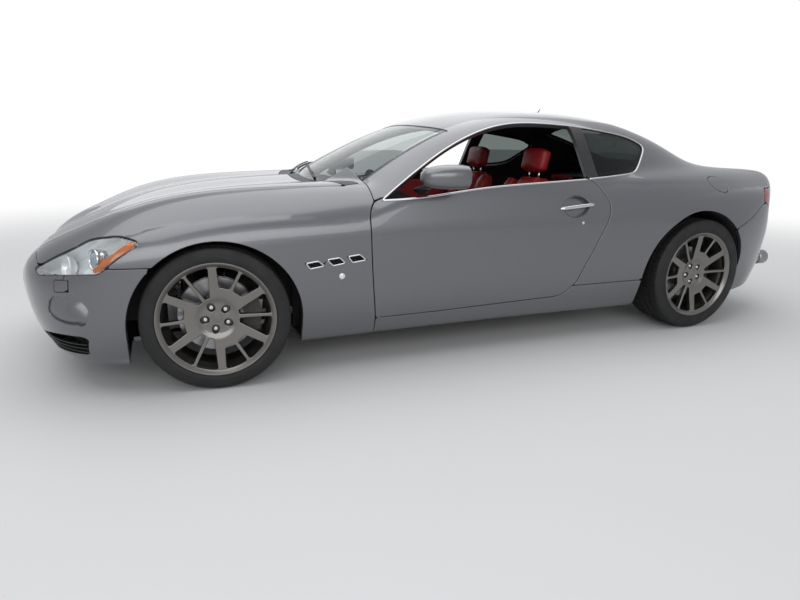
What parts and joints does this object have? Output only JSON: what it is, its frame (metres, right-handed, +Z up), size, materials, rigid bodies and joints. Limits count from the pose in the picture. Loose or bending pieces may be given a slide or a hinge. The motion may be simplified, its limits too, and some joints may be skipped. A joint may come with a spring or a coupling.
{
  "type": "coupe car",
  "caption": "Low two-door grand touring coupe with long bonnet, oval grille, cast wheels, opening doors, bonnet and boot.",
  "frame": {"origin": "on the ground under the middle of the car", "axes": "+X forward, +Y to the car's left, +Z up"},
  "size_m": [4.881, 2.0564, 1.35],
  "materials": {
    "paint": "metallic grey clear coat",
    "glass": "clear safety glass",
    "lamp_glass": "clear moulded lamp",
    "tail_glass": "red moulded lamp",
    "rim": "satin graphite",
    "tyre": "matt",
    "grille": "black gloss",
    "black": "textured black",
    "steel": "bare",
    "chrome": "polished",
    "leather": "red hide",
    "trim": "dark cabin trim",
    "iron": "raw"
  },
  "bodies": {
    "body": {"front_bumper": "paint", "rear_bumper": "paint", "roof": "paint", "wing_left": "paint", "wing_right": "paint", "body_side_left": "paint", "body_side_right": "paint", "windscreen": "glass", "rear_window": "glass", "quarter_glass_left": "glass", "quarter_glass_right": "glass", "headlamp_left": "lamp_glass", "headlamp_right": "lamp_glass", "tail_lamp_left": "tail_glass", "tail_lamp_right": "tail_glass", "grille": "grille", "arch_liners_front": "black", "arch_liners_rear": "black", "cowl": "black", "radiator": "black", "rear_deck": "paint", "front_suspension": "steel", "rear_suspension": "steel", "exhaust": "steel", "engine_block": "iron", "floor_pan": "black", "boot_floor": "black", "dashboard": "trim", "steering_wheel": "trim", "seat_left": "leather", "seat_right": "leather", "rear_seat": "leather"},
    "bonnet": {"bonnet": "paint"},
    "boot_lid": {"boot_lid": "paint"},
    "door_left": {"door_left": "paint", "mirror_left": "paint"},
    "door_right": {"door_right": "paint", "mirror_right": "paint"},
    "fuel_flap": {"fuel_flap": "paint"},
    "steer_left": {"knuckle_left": "steel"},
    "steer_right": {"knuckle_right": "steel"},
    "wheel_front_left": {"wheel_front_left": "rim", "tyre_front_left": "tyre"},
    "wheel_front_right": {"wheel_front_right": "rim", "tyre_front_right": "tyre"},
    "wheel_rear_left": {"wheel_rear_left": "rim", "tyre_rear_left": "tyre"},
    "wheel_rear_right": {"wheel_rear_right": "rim", "tyre_rear_right": "tyre"}
  },
  "joints": [
    {"name": "steer_left", "type": "hinge", "parent": "body", "child": "steer_left", "pos_m": [1.5675, 0.731, 0.34], "axis": [0, 0, 1], "range_deg": [-27, 37]},
    {"name": "spin_front_left", "type": "hinge", "parent": "steer_left", "child": "wheel_front_left", "pos_m": [1.5729, 0.79276, 0.34], "axis": [0.0872, 0.9962, 0], "continuous": true},
    {"name": "spin_rear_left", "type": "hinge", "parent": "body", "child": "wheel_rear_left", "pos_m": [-1.3745, 0.795, 0.353], "axis": [0, 1, 0], "continuous": true},
    {"name": "door_hinge_left", "type": "hinge", "parent": "body", "child": "door_left", "pos_m": [0.752, 0.898, 0.56], "axis": [0, 0, -1], "range_deg": [0, 65]},
    {"name": "steer_right", "type": "hinge", "parent": "body", "child": "steer_right", "pos_m": [1.5675, -0.731, 0.34], "axis": [0, 0, 1], "range_deg": [-27, 37]},
    {"name": "spin_front_right", "type": "hinge", "parent": "steer_right", "child": "wheel_front_right", "pos_m": [1.5621, -0.79276, 0.34], "axis": [0.0872, 0.9962, 0], "continuous": true},
    {"name": "spin_rear_right", "type": "hinge", "parent": "body", "child": "wheel_rear_right", "pos_m": [-1.3745, -0.795, 0.353], "axis": [0, 1, 0], "continuous": true},
    {"name": "door_hinge_right", "type": "hinge", "parent": "body", "child": "door_right", "pos_m": [0.752, -0.898, 0.56], "axis": [0, 0, 1], "range_deg": [0, 65]},
    {"name": "bonnet_hinge", "type": "hinge", "parent": "body", "child": "bonnet", "pos_m": [0.86, 0, 0.932], "axis": [0, -1, 0], "range_deg": [0, 50]},
    {"name": "boot_hinge", "type": "hinge", "parent": "body", "child": "boot_lid", "pos_m": [-1.893, 0, 1.016], "axis": [0, 1, 0], "range_deg": [0, 75]},
    {"name": "flap_hinge", "type": "hinge", "parent": "body", "child": "fuel_flap", "pos_m": [-1.496, 0.838, 0.932], "axis": [0, 0.9076, -0.4198], "range_deg": [0, 85]}
  ],
  "couplings": [
    {"joint": "steer_right", "follows": "steer_left", "ratio": 1}
  ]
}
